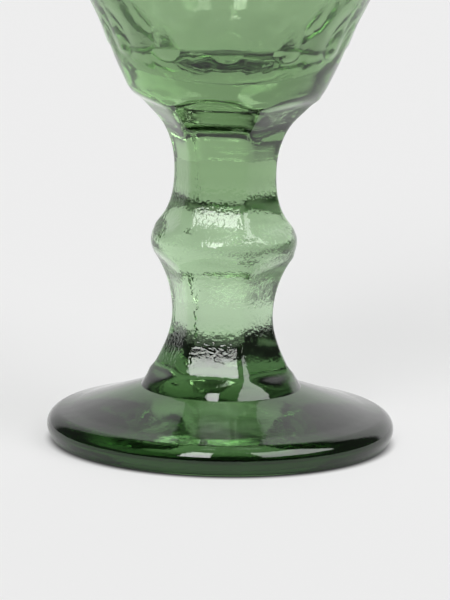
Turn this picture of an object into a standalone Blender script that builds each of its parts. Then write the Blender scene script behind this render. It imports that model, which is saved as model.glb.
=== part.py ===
"""A pressed-glass wine goblet, upright on its foot: a bowl, a faceted stem with a knop, and a foot.

Lengths in this file are millimetres until the meshes are made, which are in metres.
The foot rests on Z = 0 and the axis of the goblet is the Z axis. The front is towards -Y.
"""

import math

import bmesh
import bpy

MM = 0.001
GAP = 0.3  # between two pieces, where the real glass is fused
SIDES = 60  # points round the stem and the foot
BOWL_SIDES = 72  # points round the bowl, PATTERN_STEP apart

FOOT_RADIUS = 38.0
FOOT_BASE_RADIUS = 35.6  # the flat that it stands on
FOOT_HEEL_WIDTH, FOOT_HEEL_HEIGHT = 1.7, 1.4  # the curve from the flat up to the step
FOOT_STEP_HEIGHT = 1.6  # a small step runs round the rim here
FOOT_EDGE_WIDTH, FOOT_EDGE_HEIGHT = 3.8, 3.5  # the rounded rim, out and up from its middle
FOOT_EDGE_MIDDLE = 3.3  # the rim is widest at this height
FOOT_CONE_RADIUS = 32.8  # the sloping top meets the rounded rim here
FOOT_CONE_HEIGHT = 7.15
FOOT_TOP = 12.2
STEM_BASE_RADIUS = 17.5

LOWER_NECK, UPPER_NECK = 28.0, 59.5
KNOP_HEIGHT = 44.5
SHOULDER = 78.4  # the underside of the bowl ends here
BOWL_JOIN = 60.0  # the stem ends here and the bowl begins

CONE_TOP = 110.0  # the wall of the bowl is straight up to here, then it curves
CONE_SLOPE = 0.451
CURVE_TOP = 148.0  # and it is upright from here to the rim
BOWL_RADIUS = 44.0
RIM = 165.0
WALL_RIM = 2.6

# Height, radius and slope of the inside of the bowl: it is thick low down and thins upwards.
CAVITY_FLOOR = 83.0
CAVITY = [
    (90.0, 17.8, 0.72),
    (100.0, 24.4, 0.60),
    (125.0, 36.8, 0.38),
    (CURVE_TOP, BOWL_RADIUS - 2.9, 0.03),
    (RIM, BOWL_RADIUS - WALL_RIM, 0.0),
]

FACETS = 6
FACET_SHARE = 0.885  # distance from the axis to a facet, over the radius of the round outline
KNOP_FADE = 2.8  # the facets fade out within this height of the middle of the knop
RIDGE_GAIN = 0.43  # how much of the facets' depth is added to the outline before it is cut
STEM_TURN = -9.0  # degrees that the stem is turned from the pattern of the bowl
FACET_SHARPNESS = 24

PATTERN_STEP = 5.0  # degrees from one point of the bowl's pattern to the next
OVAL_HEIGHT, OVAL_HALF_LENGTH = 90.0, 7.3
OVAL_HALF_WIDTH = 13.0  # degrees
OVAL_DEPTH = 0.45
# Each oval is hollow, with a raised drop in it: blunt at its lower end and drawn out upwards.
DROP_HEIGHT, DROP_BELOW, DROP_ABOVE = 87.6, 1.8, 8.5
DROP_HALF_WIDTH = 7.5  # degrees
DROP_RISE = 0.5
FLUTE_MIDDLE, FLUTE_TOP = 104.0, 146.0
FLUTE_DEPTH = 0.12

# Height, radius and slope (radius over height) of the round outline at its turning points.
OUTLINE = [
    (FOOT_TOP, STEM_BASE_RADIUS, -0.55),
    (LOWER_NECK, 11.3, 0.0),
    (38.5, 13.85, 0.50),
    (KNOP_HEIGHT, 15.95, 0.0),
    (50.0, 13.55, -0.60),
    (UPPER_NECK, 11.4, 0.0),
    (65.9, 12.33, 0.33),
    (69.5, 13.98, 0.62),
    (73.1, 17.2, 1.04),
    (76.0, 20.0, 0.92),
    (SHOULDER + 0.8, 22.05, 0.48),
    (CONE_TOP, 35.9, CONE_SLOPE),
    (CURVE_TOP, BOWL_RADIUS, 0.0),
    (RIM, BOWL_RADIUS, 0.0),
]


def smooth(low, high, value):
    """0 below low, 1 above high, and an even S between."""
    t = min(max((value - low) / (high - low), 0.0), 1.0)
    return t * t * (3.0 - 2.0 * t)


def curve_through(turning_points, height):
    """The radius at a height: a cubic between each two turning points."""
    for (z0, r0, s0), (z1, r1, s1) in zip(turning_points, turning_points[1:]):
        if height <= z1:
            break
    t = (height - z0) / (z1 - z0)
    rise = t * t * (3.0 - 2.0 * t)
    bend = t * (1.0 - t) * (s0 * (1.0 - t) - s1 * t) * (z1 - z0)
    return r0 + (r1 - r0) * rise + bend


def facet_share(height):
    """The distance from the axis to a facet, over the radius of the round outline."""
    knop = math.exp(-(((height - KNOP_HEIGHT) / KNOP_FADE) ** 2))
    shoulder = smooth(SHOULDER - 4.0, SHOULDER + 1.0, height)
    foot = 1.0 - smooth(FOOT_TOP, FOOT_TOP + 5.0, height)
    return FACET_SHARE + 0.22 * knop + 0.25 * shoulder + 0.20 * foot


def stem_radius(angle, height):
    """The six facets cut into the round outline, with their ridges rounded over."""
    share = facet_share(height)
    # The ridges are rounded well back, so the outline that they are cut from is a little larger.
    larger = 1.0 + RIDGE_GAIN * max(1.0 - share, 0.0)
    radius = curve_through(OUTLINE, height) * larger
    nearness = 0.0
    for k in range(FACETS):
        toward = math.cos(math.radians(angle - STEM_TURN - k * 360.0 / FACETS))
        nearness += max(toward * larger / share, 0.0) ** FACET_SHARPNESS
    return radius / (1.0 + nearness) ** (1.0 / FACET_SHARPNESS)


def bowl_relief(angle, height):
    """How far the pressed pattern stands out: a row of ovals round the foot of the bowl."""
    pitch = 180.0 / FACETS
    from_oval = abs((angle + pitch / 2.0) % pitch - pitch / 2.0)
    across, up = from_oval / OVAL_HALF_WIDTH, (height - OVAL_HEIGHT) / OVAL_HALF_LENGTH
    hollow = OVAL_DEPTH * max(1.0 - across**2 - up**2, 0.0)
    reach = DROP_BELOW if height < DROP_HEIGHT else DROP_ABOVE
    across, up = from_oval / DROP_HALF_WIDTH, (height - DROP_HEIGHT) / reach
    drop = DROP_RISE * max(1.0 - across**2 - up**2, 0.0) ** 2
    flutes = smooth(OVAL_HEIGHT, FLUTE_MIDDLE, height)
    flutes *= 1.0 - smooth(FLUTE_MIDDLE, FLUTE_TOP, height)
    wave = FLUTE_DEPTH * flutes * math.cos(math.radians(angle) * 2.0 * FACETS)
    return drop - hollow + wave


def bowl_radius(angle, height):
    if height < SHOULDER:
        return stem_radius(angle, height)
    return curve_through(OUTLINE, height) + bowl_relief(angle, height)


def cavity_radius(height):
    """The inside of the bowl, with its bottom drawn in to a shallow round."""
    top, radius, slope = CAVITY[0]
    if height > top:
        return curve_through(CAVITY, height)
    above = (height - CAVITY_FLOOR) / (top - CAVITY_FLOOR)
    sloping = slope * (height - CAVITY_FLOOR)
    return sloping + (radius - slope * (top - CAVITY_FLOOR)) * math.sqrt(above * (2.0 - above))


def glass(name, base_color):
    material = bpy.data.materials.new(name)
    material.use_nodes = True
    shader = material.node_tree.nodes["Principled BSDF"]
    shader.inputs["Base Color"].default_value = base_color
    shader.inputs["Roughness"].default_value = 0.03
    shader.inputs["IOR"].default_value = 1.52
    shader.inputs["Transmission Weight"].default_value = 1.0
    material.diffuse_color = base_color
    return material


def lofted(name, rings, material):
    """A closed body through rings of (x, y, z); a ring of one point closes an end."""
    body = bmesh.new()
    rows = [[body.verts.new([c * MM for c in point]) for point in ring] for ring in rings]
    for low, high in zip(rows, rows[1:]):
        count = max(len(low), len(high))
        for i in range(count):
            corners = [low[i % len(low)], low[(i + 1) % len(low)]]
            corners += [high[(i + 1) % len(high)], high[i % len(high)]]
            face = []
            for corner in corners:
                if corner not in face:
                    face.append(corner)
            body.faces.new(face)
    bmesh.ops.recalc_face_normals(body, faces=body.faces)
    mesh = bpy.data.meshes.new(name)
    body.to_mesh(mesh)
    body.free()
    mesh.materials.append(material)
    mesh.shade_smooth()
    mesh.set_sharp_from_angle(angle=math.radians(35))
    piece = bpy.data.objects.new(name, mesh)
    bpy.context.scene.collection.objects.link(piece)
    return piece


def ring_of(radius_at, height, count, turn):
    """Points round the axis at one height; radius_at takes an angle in degrees from the front."""
    points = []
    for i in range(count):
        angle = turn + i * 360.0 / count
        radius = radius_at(angle)
        across = math.sin(math.radians(angle))
        away = -math.cos(math.radians(angle))
        points.append((radius * across, radius * away, height))
    return points


def spread(low, high, count):
    """Heights from low to high, count of them, both ends included."""
    return [low + (high - low) * i / (count - 1) for i in range(count)]


def foot_outline():
    """(radius, height) from the flat of the foot round the rim and up the cone."""
    points = [(FOOT_BASE_RADIUS, 0.0)]
    for step in (1, 2):
        bend = math.radians(30.0 * step)
        out = FOOT_HEEL_WIDTH * math.sin(bend)
        points.append((FOOT_BASE_RADIUS + out, FOOT_HEEL_HEIGHT * (1.0 - math.cos(bend))))
    points.append((FOOT_RADIUS - 0.6, FOOT_STEP_HEIGHT - 0.1))
    points.append((FOOT_RADIUS - 0.3, FOOT_STEP_HEIGHT))
    for step in range(6):
        bend = math.radians(15.0 * step)
        radius = FOOT_RADIUS - FOOT_EDGE_WIDTH * (1.0 - math.cos(bend))
        points.append((radius, FOOT_EDGE_MIDDLE + FOOT_EDGE_HEIGHT * math.sin(bend)))
    points.append((FOOT_CONE_RADIUS, FOOT_CONE_HEIGHT))
    points.append((STEM_BASE_RADIUS, FOOT_TOP))
    return points


for old in list(bpy.data.objects):
    bpy.data.objects.remove(old)

foot_rings = [[(0.0, 0.0, 0.0)]]
for edge, level in foot_outline():
    foot_rings.append(ring_of(lambda angle, edge=edge: edge, level, SIDES, STEM_TURN))
foot_rings.append([(0.0, 0.0, FOOT_TOP)])
lofted("foot", foot_rings, glass("foot_glass", (0.33, 0.55, 0.30, 1.0)))

stem_low, stem_high = FOOT_TOP + GAP, BOWL_JOIN - GAP / 2
levels = spread(stem_low, 36.0, 7)
levels += spread(39.0, 50.0, 8)
levels += spread(53.0, stem_high, 3)
stem_rings = [[(0.0, 0.0, stem_low)]]
for level in levels:
    at = lambda angle, level=level: stem_radius(angle, level)
    stem_rings.append(ring_of(at, level, SIDES, STEM_TURN))
stem_rings.append([(0.0, 0.0, stem_high)])
lofted("stem", stem_rings, glass("stem_glass", (0.34, 0.56, 0.31, 1.0)))

bowl_low = BOWL_JOIN + GAP / 2
levels = [bowl_low, 63.0, 65.9, 68.0, 69.8, 71.5, 73.1, 74.6, 76.0, 77.0, 78.0, 79.2, 81.0]
levels += [82.7, 84.2, 85.6, 86.3, 87.0, 87.6, 89.0, 91.0, 93.5, 96.0, 98.0, 101.0]
levels += spread(105.0, 157.0, 9)
# The points follow the facets of the stem low down and the pattern of the bowl above.
upright = PATTERN_STEP * round(STEM_TURN / PATTERN_STEP)
bowl_rings = [[(0.0, 0.0, bowl_low)]]
for level in levels:
    at = lambda angle, level=level: bowl_radius(angle, level)
    turn = STEM_TURN + (upright - STEM_TURN) * smooth(BOWL_JOIN, SHOULDER, level)
    bowl_rings.append(ring_of(at, level, BOWL_SIDES, turn))
lip = WALL_RIM / 2
for step in range(5):
    bend = math.radians(45.0 * step)
    edge = BOWL_RADIUS - lip + lip * math.cos(bend)
    level = RIM - lip + lip * math.sin(bend)
    bowl_rings.append(ring_of(lambda angle, edge=edge: edge, level, BOWL_SIDES, upright))
levels = spread(155.0, CAVITY[0][0], 9)
for step in range(1, 6):
    # Even steps of angle round the bottom of the cavity.
    drop = math.sin(math.radians(16.0 * step))
    levels.append(CAVITY[0][0] - (CAVITY[0][0] - CAVITY_FLOOR) * drop)
for level in levels:
    at = lambda angle, level=level: cavity_radius(level)
    bowl_rings.append(ring_of(at, level, BOWL_SIDES, upright))
bowl_rings.append([(0.0, 0.0, CAVITY_FLOOR)])
lofted("bowl", bowl_rings, glass("bowl_glass", (0.36, 0.58, 0.33, 1.0)))
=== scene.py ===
"""A pressed-glass wine goblet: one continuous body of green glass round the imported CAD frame.

The bowl, stem and foot are fused in the real goblet, so light must cross no gap between them.
They are drawn here as one closed mesh, which replaces the three CAD nodes. Lengths in the
shape functions are millimetres, and the mesh is made in metres.
"""

import math

import bmesh
import bpy
from mathutils import Matrix, Vector


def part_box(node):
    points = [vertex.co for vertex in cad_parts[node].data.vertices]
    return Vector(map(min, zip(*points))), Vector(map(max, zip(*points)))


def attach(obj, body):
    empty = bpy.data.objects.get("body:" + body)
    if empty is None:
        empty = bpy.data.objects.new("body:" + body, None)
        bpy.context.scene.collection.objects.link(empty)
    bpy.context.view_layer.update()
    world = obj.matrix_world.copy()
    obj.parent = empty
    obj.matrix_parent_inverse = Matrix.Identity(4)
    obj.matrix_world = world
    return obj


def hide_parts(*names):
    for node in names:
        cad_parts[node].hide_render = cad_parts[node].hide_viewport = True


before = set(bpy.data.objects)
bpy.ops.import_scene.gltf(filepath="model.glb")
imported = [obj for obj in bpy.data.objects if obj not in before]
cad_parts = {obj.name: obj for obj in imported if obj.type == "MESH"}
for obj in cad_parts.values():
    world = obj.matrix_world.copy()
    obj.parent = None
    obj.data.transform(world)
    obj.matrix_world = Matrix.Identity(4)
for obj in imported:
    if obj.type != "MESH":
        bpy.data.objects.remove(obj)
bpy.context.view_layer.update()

MM = 0.001


def top_of(node):
    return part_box(node)[1][2] / MM


def radius_of(node):
    low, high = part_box(node)
    return (high[0] - low[0]) / 2 / MM


# ---------------------------------------------------------------- driving dimensions

SIDES = 240  # points round the goblet
STEM_PITCH, PATTERN_PITCH, WALL_PITCH = 0.5, 0.45, 1.1  # from one ring of points to the next
CAVITY_PITCH = 1.2
PATTERN_TOP = 102.0  # the rings are close together up to here, and further apart above

FOOT_RADIUS = 38.0
FOOT_BASE_RADIUS = 35.6  # the flat that it stands on
FOOT_HEEL_WIDTH, FOOT_HEEL_HEIGHT = 1.7, 1.4  # the curve from the flat up to the step
FOOT_STEP_HEIGHT = 1.6  # a small step runs round the rim here
FOOT_EDGE_WIDTH, FOOT_EDGE_HEIGHT = 3.8, 3.5  # the rounded rim, out and up from its middle
FOOT_EDGE_MIDDLE = 3.3  # the rim is widest at this height
FOOT_CONE_RADIUS = 32.8  # the sloping top meets the rounded rim here
FOOT_CONE_HEIGHT = 7.15
FOOT_TOP = top_of("foot")
STEM_BASE_RADIUS = 17.5

LOWER_NECK, UPPER_NECK = 28.0, 59.5
KNOP_HEIGHT = 44.5
SHOULDER = 78.4  # the underside of the bowl ends here

CONE_TOP = 110.0  # the wall of the bowl is straight up to here, then it curves
CONE_SLOPE = 0.451
CURVE_TOP = 148.0  # and it is upright from here to the rim
BOWL_RADIUS = radius_of("bowl")
RIM = top_of("bowl")
WALL_RIM = 2.6
# Height, radius and slope of the inside of the bowl: it is thick low down and thins upwards.
CAVITY_FLOOR = 83.0
CAVITY = [
    (90.0, 17.8, 0.72),
    (100.0, 24.4, 0.60),
    (125.0, 36.8, 0.38),
    (CURVE_TOP, BOWL_RADIUS - 2.9, 0.03),
    (RIM, BOWL_RADIUS - WALL_RIM, 0.0),
]

FACETS = 6
FACET_SHARE = 0.885  # distance from the axis to a facet, over the radius of the round outline
KNOP_FADE = 2.8  # the facets fade out within this height of the middle of the knop
RIDGE_GAIN = 0.43  # how much of the facets' depth is added to the outline before it is cut
STEM_TURN = -9.0  # degrees that the stem is turned from the pattern of the bowl
FACET_SHARPNESS = 24

OVAL_HEIGHT, OVAL_HALF_LENGTH = 90.0, 7.3
OVAL_HALF_WIDTH = 13.0  # degrees
OVAL_DEPTH = 0.45
# Each oval is hollow, with a raised drop in it: blunt at its lower end and drawn out upwards.
DROP_HEIGHT, DROP_BELOW, DROP_ABOVE = 87.6, 1.8, 8.5
DROP_HALF_WIDTH = 7.5  # degrees
DROP_RISE = 0.5
FLUTE_MIDDLE, FLUTE_TOP = 104.0, 146.0
FLUTE_DEPTH = 0.12

# Heights at which the grain in the surface comes in above the foot and fades out again.
GRAIN_START, GRAIN_FULL, GRAIN_FADE, GRAIN_END = 15.0, 22.0, 50.0, 66.0
GRAIN_LEAST = 0.12
# The colour of the skin deepens between these heights, from the lower stem to the bowl.
PALE_BELOW, DEEP_ABOVE = 46.0, 58.0

# Height, radius and slope (radius over height) of the round outline at its turning points.
OUTLINE = [
    (FOOT_TOP, STEM_BASE_RADIUS, -0.55),
    (LOWER_NECK, 11.3, 0.0),
    (38.5, 13.85, 0.50),
    (KNOP_HEIGHT, 15.95, 0.0),
    (50.0, 13.55, -0.60),
    (UPPER_NECK, 11.4, 0.0),
    (65.9, 12.33, 0.33),
    (69.5, 13.98, 0.62),
    (73.1, 17.2, 1.04),
    (76.0, 20.0, 0.92),
    (SHOULDER + 0.8, 22.05, 0.48),
    (CONE_TOP, 35.9, CONE_SLOPE),
    (CURVE_TOP, BOWL_RADIUS, 0.0),
    (RIM, BOWL_RADIUS, 0.0),
]


# ---------------------------------------------------------------- the shape of the glass


def smooth(low, high, value):
    """0 below low, 1 above high, and an even S between."""
    t = min(max((value - low) / (high - low), 0.0), 1.0)
    return t * t * (3.0 - 2.0 * t)


def curve_through(turning_points, height):
    """The radius at a height: a cubic between each two turning points."""
    for (z0, r0, s0), (z1, r1, s1) in zip(turning_points, turning_points[1:]):
        if height <= z1:
            break
    t = (height - z0) / (z1 - z0)
    rise = t * t * (3.0 - 2.0 * t)
    bend = t * (1.0 - t) * (s0 * (1.0 - t) - s1 * t) * (z1 - z0)
    return r0 + (r1 - r0) * rise + bend


def outline_radius(height):
    return curve_through(OUTLINE, height)


def facet_share(height):
    """The distance from the axis to a facet, over the radius of the round outline."""
    knop = math.exp(-(((height - KNOP_HEIGHT) / KNOP_FADE) ** 2))
    shoulder = smooth(SHOULDER - 4.0, SHOULDER + 1.0, height)
    foot = 1.0 - smooth(FOOT_TOP, FOOT_TOP + 5.0, height)
    return FACET_SHARE + 0.22 * knop + 0.25 * shoulder + 0.20 * foot


def stem_radius(angle, height):
    """The six facets cut into the round outline, with their ridges rounded over."""
    share = facet_share(height)
    # The ridges are rounded well back, so the outline that they are cut from is a little larger.
    larger = 1.0 + RIDGE_GAIN * max(1.0 - share, 0.0)
    radius = outline_radius(height) * larger
    share = share / larger
    nearness = 0.0
    for k in range(FACETS):
        toward = math.cos(math.radians(angle - STEM_TURN - k * 360.0 / FACETS))
        nearness += max(toward / share, 0.0) ** FACET_SHARPNESS
    return radius / (1.0 + nearness) ** (1.0 / FACET_SHARPNESS)


def bowl_relief(angle, height):
    """How far the pressed pattern stands out: a row of ovals round the foot of the bowl."""
    pitch = 180.0 / FACETS
    from_oval = abs((angle + pitch / 2.0) % pitch - pitch / 2.0)
    across, up = from_oval / OVAL_HALF_WIDTH, (height - OVAL_HEIGHT) / OVAL_HALF_LENGTH
    hollow = OVAL_DEPTH * max(1.0 - across**2 - up**2, 0.0)
    reach = DROP_BELOW if height < DROP_HEIGHT else DROP_ABOVE
    across, up = from_oval / DROP_HALF_WIDTH, (height - DROP_HEIGHT) / reach
    drop = DROP_RISE * max(1.0 - across**2 - up**2, 0.0) ** 2
    rise, fall = smooth(OVAL_HEIGHT, FLUTE_MIDDLE, height), smooth(FLUTE_MIDDLE, FLUTE_TOP, height)
    flutes = rise * (1.0 - fall)
    wave = FLUTE_DEPTH * flutes * math.cos(math.radians(angle) * 2.0 * FACETS)
    return drop - hollow + wave


def body_radius(angle, height):
    if height < SHOULDER:
        return stem_radius(angle, height)
    return outline_radius(height) + bowl_relief(angle, height)


def cavity_radius(height):
    """The inside of the bowl, with its bottom drawn in to a shallow round."""
    top, radius, slope = CAVITY[0]
    if height > top:
        return curve_through(CAVITY, height)
    above = (height - CAVITY_FLOOR) / (top - CAVITY_FLOOR)
    sloping = slope * (height - CAVITY_FLOOR)
    return sloping + (radius - slope * (top - CAVITY_FLOOR)) * math.sqrt(above * (2.0 - above))


def spread(low, high, pitch):
    """Heights from low to high about pitch apart, both ends included."""
    count = max(int(round(abs(high - low) / pitch)), 1)
    return [low + (high - low) * i / count for i in range(count + 1)]


def foot_outline():
    """(radius, height) from the flat of the foot round the rim and up the cone."""
    points = [(FOOT_BASE_RADIUS * share, 0.0) for share in (0.3, 0.6, 0.9, 0.99, 1.0)]
    for step in range(1, 9):
        bend = math.radians(8.0 * step)
        out = FOOT_HEEL_WIDTH * math.sin(bend)
        points.append((FOOT_BASE_RADIUS + out, FOOT_HEEL_HEIGHT * (1.0 - math.cos(bend))))
    points.append((FOOT_RADIUS - 0.6, FOOT_STEP_HEIGHT - 0.12))
    points.append((FOOT_RADIUS - 0.55, FOOT_STEP_HEIGHT - 0.04))
    points.append((FOOT_RADIUS - 0.35, FOOT_STEP_HEIGHT + 0.04))
    for step in range(-3, 19):
        bend = math.radians(4.0 * step)
        radius = FOOT_RADIUS - FOOT_EDGE_WIDTH * (1.0 - math.cos(bend))
        points.append((radius, FOOT_EDGE_MIDDLE + FOOT_EDGE_HEIGHT * math.sin(bend)))
    for i in range(13):
        t = i / 12
        radius = FOOT_CONE_RADIUS + (STEM_BASE_RADIUS - FOOT_CONE_RADIUS) * t
        points.append((radius, FOOT_CONE_HEIGHT + (FOOT_TOP - FOOT_CONE_HEIGHT) * t))
    return points


def ring_of(body, radius_at, height):
    """Vertices round the axis at one height; radius_at takes an angle in degrees from -Y."""
    ring = []
    for i in range(SIDES):
        angle = i * 360.0 / SIDES
        radius = radius_at(angle) * MM
        turn = math.radians(angle)
        point = (radius * math.sin(turn), -radius * math.cos(turn), height * MM)
        ring.append(body.verts.new(point))
    return ring


def goblet_rings(body):
    """Every ring of the goblet: up the outside from under the foot, and down the cavity."""
    rings = []
    for radius, height in foot_outline():
        rings.append(ring_of(body, lambda angle, radius=radius: radius, height))
    lip = WALL_RIM / 2
    levels = spread(FOOT_TOP, SHOULDER, STEM_PITCH)[1:]
    levels += spread(SHOULDER, PATTERN_TOP, PATTERN_PITCH)[1:]
    levels += spread(PATTERN_TOP, RIM - lip, WALL_PITCH)[1:]
    for height in levels:
        rings.append(ring_of(body, lambda angle, z=height: body_radius(angle, z), height))
    for step in range(1, 12):
        bend = math.radians(15.0 * step)
        radius = BOWL_RADIUS - lip + lip * math.cos(bend)
        height = RIM - lip + lip * math.sin(bend)
        rings.append(ring_of(body, lambda angle, radius=radius: radius, height))
    round_top = CAVITY[0][0]
    for height in spread(RIM - lip, round_top, CAVITY_PITCH):
        rings.append(ring_of(body, lambda angle, z=height: cavity_radius(z), height))
    for step in range(1, 30):
        # Even steps of angle round the bottom of the cavity, so that it stays smooth.
        height = round_top - (round_top - CAVITY_FLOOR) * math.sin(math.radians(3.0 * step))
        rings.append(ring_of(body, lambda angle, z=height: cavity_radius(z), height))
    return rings


def tint_and_foot_shade_depth(point):
    """How deep the surface's colour is: 0 inside the bowl, 1/3 on the lower stem, 2/3 above it
    and 1 on the foot, where the colour is partly painted shade."""
    height, radius = point.z / MM, math.hypot(point.x, point.y) / MM
    if height > CAVITY_FLOOR - 0.1 and radius < cavity_radius(max(height, CAVITY_FLOOR)) + 0.4:
        return 0.0
    # On the foot the depth rises to 1, where the tint is partly painted shade.
    foot = 1.0 - smooth(FOOT_TOP - 1.0, FOOT_TOP + 5.0, height)
    return (1.0 + smooth(PALE_BELOW, DEEP_ABOVE, height) + 2.0 * foot) / 3.0


def grain_depth(height):
    """How strong the fine grain is: full on the lower stem and the knop, faint elsewhere."""
    rise = smooth(GRAIN_START, GRAIN_FULL, height)
    fall = smooth(GRAIN_FADE, GRAIN_END, height)
    return GRAIN_LEAST + (1.0 - GRAIN_LEAST) * rise * (1.0 - fall)


def make_goblet():
    body = bmesh.new()
    rings = goblet_rings(body)
    for low, high in zip(rings, rings[1:]):
        for i in range(SIDES):
            j = (i + 1) % SIDES
            body.faces.new((low[i], low[j], high[j], high[i]))
    under = body.verts.new((0.0, 0.0, 0.0))
    floor = body.verts.new((0.0, 0.0, CAVITY_FLOOR * MM))
    for i in range(SIDES):
        j = (i + 1) % SIDES
        body.faces.new((rings[0][j], rings[0][i], under))
        body.faces.new((rings[-1][i], rings[-1][j], floor))
    bmesh.ops.recalc_face_normals(body, faces=body.faces)
    mesh = bpy.data.meshes.new("goblet_glass")
    body.to_mesh(mesh)
    body.free()
    skin_and_foot_shade = mesh.attributes.new("skin_and_foot_shade", "FLOAT", "POINT")
    skin_and_foot_shade.data.foreach_set("value", [tint_and_foot_shade_depth(vertex.co) for vertex in mesh.vertices])
    grain = mesh.attributes.new("grain", "FLOAT", "POINT")
    grain.data.foreach_set("value", [grain_depth(vertex.co.z / MM) for vertex in mesh.vertices])
    mesh.shade_smooth()
    mesh.set_sharp_from_angle(angle=math.radians(30))
    goblet = bpy.data.objects.new("goblet_glass", mesh)
    bpy.context.scene.collection.objects.link(goblet)
    return goblet


# ---------------------------------------------------------------- materials

# The colours that the surface gives to the light through it, on the lower stem, above it and
# on the foot, and the colour that the thickness of the glass gives. The foot's colour is partly
# its own deeper green and partly painted shade.
PALE_TINT = (0.66, 0.84, 0.62, 1.0)
DEEP_TINT = (0.34, 0.52, 0.28, 1.0)
# The foot's tint is partly the glass's deeper green and partly painted shade, darkening the foot
# to near black.
FOOT_TINT_AND_SHADE = (0.05, 0.13, 0.04, 1.0)
THICKNESS_TINT, THICKNESS_DENSITY = (0.25, 0.45, 0.15, 1.0), 20.0
GLASS_IOR = 1.52

# Waves in the surface: how fine, how far drawn out along the axis, how deep in millimetres, and
# whether they fade out with the grain.
WAVES = (
    (1300.0, 1.0, 0.105, True),
    (900.0, 0.08, 0.060, True),
    (120.0, 0.6, 0.080, False),
)

# The floor's glow and colour away from the foot, and the painted shadow level that both fall to
# under the foot.
FLOOR_GLOW, FLOOR_SHADE, FLOOR_PAINTED_SHADOW = 0.58, 0.27, 0.03


def surface_waves(nodes, links):
    """The fine grain and the slow waves that the mould leaves in the surface."""
    place = nodes.new("ShaderNodeTexCoord").outputs["Object"]
    grain = nodes.new("ShaderNodeAttribute")
    grain.attribute_name = "grain"
    height = None
    for scale, stretch, amount, grainy in WAVES:
        along = nodes.new("ShaderNodeVectorMath")
        along.operation = "MULTIPLY"
        along.inputs[1].default_value = (1.0, 1.0, stretch)
        noise = nodes.new("ShaderNodeTexNoise")
        noise.inputs["Scale"].default_value = scale
        noise.inputs["Detail"].default_value = 1.0
        links.new(place, along.inputs[0])
        links.new(along.outputs["Vector"], noise.inputs["Vector"])
        scaled = nodes.new("ShaderNodeMath")
        scaled.operation = "MULTIPLY_ADD"
        links.new(noise.outputs["Fac"], scaled.inputs[0])
        if grainy:
            share = nodes.new("ShaderNodeMath")
            share.operation = "MULTIPLY"
            share.inputs[1].default_value = amount
            links.new(grain.outputs["Fac"], share.inputs[0])
            links.new(share.outputs[0], scaled.inputs[1])
        else:
            scaled.inputs[1].default_value = amount
        scaled.inputs[2].default_value = 0.0
        if height:
            links.new(height, scaled.inputs[2])
        height = scaled.outputs[0]
    bump = nodes.new("ShaderNodeBump")
    bump.inputs["Strength"].default_value = 1.0
    bump.inputs["Distance"].default_value = MM
    links.new(height, bump.inputs["Height"])
    return bump.outputs["Normal"]


def green_glass():
    """Green glass: most of the colour is in the outer surface, and a little in the thickness."""
    material = bpy.data.materials.new("green_pressed_glass")
    material.use_nodes = True
    nodes, links = material.node_tree.nodes, material.node_tree.links
    shader = nodes["Principled BSDF"]
    skin_and_foot_shade = nodes.new("ShaderNodeAttribute")
    skin_and_foot_shade.attribute_name = "skin_and_foot_shade"
    colour = nodes.new("ShaderNodeValToRGB")
    colour.color_ramp.elements[0].color = (1.0, 1.0, 1.0, 1.0)
    # The darkest end of the ramp is the foot's tint, partly painted shade.
    colour.color_ramp.elements[1].color = FOOT_TINT_AND_SHADE
    for place, tint in ((1 / 3, PALE_TINT), (2 / 3, DEEP_TINT)):
        colour.color_ramp.elements.new(place).color = tint
    links.new(skin_and_foot_shade.outputs["Fac"], colour.inputs["Fac"])
    links.new(colour.outputs["Color"], shader.inputs["Base Color"])
    links.new(surface_waves(nodes, links), shader.inputs["Normal"])
    shader.inputs["Roughness"].default_value = 0.0
    shader.inputs["IOR"].default_value = GLASS_IOR
    shader.inputs["Transmission Weight"].default_value = 1.0
    tint = nodes.new("ShaderNodeVolumeAbsorption")
    tint.inputs["Color"].default_value = THICKNESS_TINT
    tint.inputs["Density"].default_value = THICKNESS_DENSITY
    links.new(tint.outputs["Volume"], nodes["Material Output"].inputs["Volume"])
    return material


def pale_floor():
    """An even pale floor that goes dark under the foot, where little light gets in: a painted
    shadow, with its glow and colour turned down there.
    """
    material = bpy.data.materials.new("pale_floor")
    material.use_nodes = True
    nodes, links = material.node_tree.nodes, material.node_tree.links
    shader = nodes["Principled BSDF"]
    place = nodes.new("ShaderNodeTexCoord")
    from_axis = nodes.new("ShaderNodeVectorMath")
    from_axis.operation = "LENGTH"
    links.new(place.outputs["Object"], from_axis.inputs[0])
    # Painted shadow: both the glow and the colour are turned down under the foot.
    for target, most in (("Emission Strength", FLOOR_GLOW), ("Base Color", FLOOR_SHADE)):
        level = nodes.new("ShaderNodeMapRange")
        level.interpolation_type = "SMOOTHSTEP"
        level.inputs["From Min"].default_value = FOOT_BASE_RADIUS * MM
        level.inputs["From Max"].default_value = (FOOT_RADIUS + 1.0) * MM
        level.inputs["To Min"].default_value = FLOOR_PAINTED_SHADOW
        level.inputs["To Max"].default_value = most
        links.new(from_axis.outputs["Value"], level.inputs["Value"])
        links.new(level.outputs["Result"], shader.inputs[target])
    shader.inputs["Emission Color"].default_value = (1.0, 1.0, 1.0, 1.0)
    shader.inputs["Roughness"].default_value = 0.9
    shader.inputs["Specular IOR Level"].default_value = 0.1
    return material


# ---------------------------------------------------------------- the studio

FLOOR_GAP = 0.0001  # air between the foot and the floor
FLOOR_SIZE = 12.0

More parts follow.
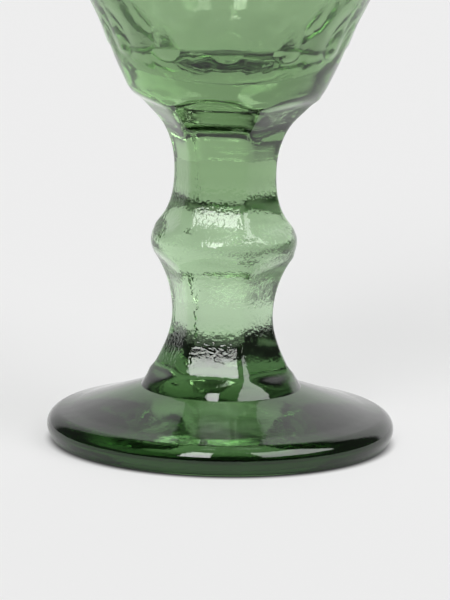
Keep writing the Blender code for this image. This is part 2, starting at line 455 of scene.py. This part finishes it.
# Directions are in degrees: azimuth 0 is +Y, straight behind the goblet, and 90 is +X.
# A window is its range of azimuths, its range of elevations and the softness of its edges.
AHEAD = ((-42.0, 50.0), (-95.0, 48.0), 6.0)
AHEAD_LIGHT, AHEAD_RISE = 0.84, 0.0055  # at azimuth 0, and how much more for each degree
LAMPS = (
    (((-173.0, -151.0), (26.0, 62.0), 0.8), 10.0),
    (((92.0, 150.0), (28.0, 62.0), 0.8), 5.0),
)
ROUND_ABOUT = ((-125.0, 125.0), (-95.0, 42.0), 8.0)
ROUND_ABOUT_LIGHT, DARKEST, WALL_LIGHT = 0.05, 0.03, 0.84

# The camera stands back at a distance from a point on the axis and aims at one lower down.
CAMERA_DISTANCE, CAMERA_ELEVATION, CAMERA_ROLL = 0.90, 9.6, 1.17
CAMERA_CENTRE, CAMERA_AIM = Vector((0.0, 0.0, 0.050)), Vector((0.0005, 0.0, 0.0311))
SENSOR_WIDTH = 36.0
FOCAL_LENGTH = 248.34


def make_floor():
    bpy.ops.mesh.primitive_plane_add(size=FLOOR_SIZE, location=(0.0, 0.0, -FLOOR_GAP))
    floor = bpy.context.object
    floor.name = "floor"
    floor.data.materials.append(pale_floor())


class Sky:
    """Builds the light of the room by direction, from math nodes."""

    def __init__(self, tree):
        self.tree = tree
        where = tree.nodes.new("ShaderNodeTexCoord").outputs["Generated"]
        split = tree.nodes.new("ShaderNodeSeparateXYZ")
        tree.links.new(where, split.inputs[0])
        x, y, z = split.outputs
        self.azimuth = self.math("MULTIPLY", self.math("ARCTAN2", x, y), 180 / math.pi)
        self.elevation = self.math("MULTIPLY", self.math("ARCSINE", z), 180 / math.pi)

    def math(self, operation, *values):
        node = self.tree.nodes.new("ShaderNodeMath")
        node.operation = operation
        for socket, value in zip(node.inputs, values):
            if isinstance(value, (int, float)):
                socket.default_value = value
            else:
                self.tree.links.new(value, socket)
        return node.outputs[0]

    def step(self, value, low, high):
        """0 below low, 1 above high."""
        node = self.tree.nodes.new("ShaderNodeMapRange")
        node.interpolation_type = "SMOOTHSTEP"
        self.tree.links.new(value, node.inputs["Value"])
        node.inputs["From Min"].default_value = low
        node.inputs["From Max"].default_value = high
        return node.outputs["Result"]

    def window(self, azimuths, elevations, soft, strength):
        """A soft-edged window of light between two azimuths and two elevations."""
        light = strength
        for value, (low, high) in ((self.azimuth, azimuths), (self.elevation, elevations)):
            light = self.math("MULTIPLY", light, self.step(value, low - soft, low + soft))
            beyond = self.step(value, high - soft, high + soft)
            light = self.math("MULTIPLY", light, self.math("SUBTRACT", 1.0, beyond))
        return light


def make_world():
    world = bpy.data.worlds.new("studio")
    bpy.context.scene.world = world
    world.use_nodes = True
    sky = Sky(world.node_tree)
    # The light ahead is brighter to the right.
    across = sky.math("MULTIPLY_ADD", sky.azimuth, AHEAD_RISE, AHEAD_LIGHT)
    light = sky.window(*AHEAD, across)
    for lamp, strength in LAMPS:
        light = sky.math("ADD", light, sky.window(*lamp, strength))
    dim = sky.math("ADD", sky.window(*ROUND_ABOUT, ROUND_ABOUT_LIGHT), DARKEST)
    light = sky.math("MAXIMUM", light, dim)
    # The camera sees a pale wall round the goblet, and the glass and the floor see the room.
    seen = world.node_tree.nodes.new("ShaderNodeLightPath").outputs["Is Camera Ray"]
    light = sky.math("MAXIMUM", light, sky.math("MULTIPLY", seen, WALL_LIGHT))
    world.node_tree.links.new(light, world.node_tree.nodes["Background"].inputs["Color"])


def make_camera():
    """A long lens, a little above the foot, looking at the stem, with a slight tilt."""
    elevation, roll = math.radians(CAMERA_ELEVATION), math.radians(CAMERA_ROLL)
    back = Vector((0.0, -math.cos(elevation), math.sin(elevation)))
    place = CAMERA_CENTRE + CAMERA_DISTANCE * back
    camera = bpy.data.objects.new("camera", bpy.data.cameras.new("camera"))
    camera.data.sensor_width = SENSOR_WIDTH
    camera.data.lens = FOCAL_LENGTH
    look = (CAMERA_AIM - place).to_track_quat("-Z", "Y").to_matrix().to_4x4()
    camera.matrix_world = Matrix.Translation(place) @ look @ Matrix.Rotation(roll, 4, "Z")
    bpy.context.scene.collection.objects.link(camera)
    bpy.context.scene.camera = camera


def set_scene():
    scene = bpy.context.scene
    scene.view_settings.view_transform = "Standard"
    scene.cycles.max_bounces = 32
    scene.cycles.transmission_bounces = 32
    scene.cycles.glossy_bounces = 16
    scene.cycles.transparent_max_bounces = 16


goblet = make_goblet()
goblet.data.materials.append(green_glass())
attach(goblet, "root")
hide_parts("bowl", "stem", "foot")

make_floor()
make_world()
make_camera()
set_scene()
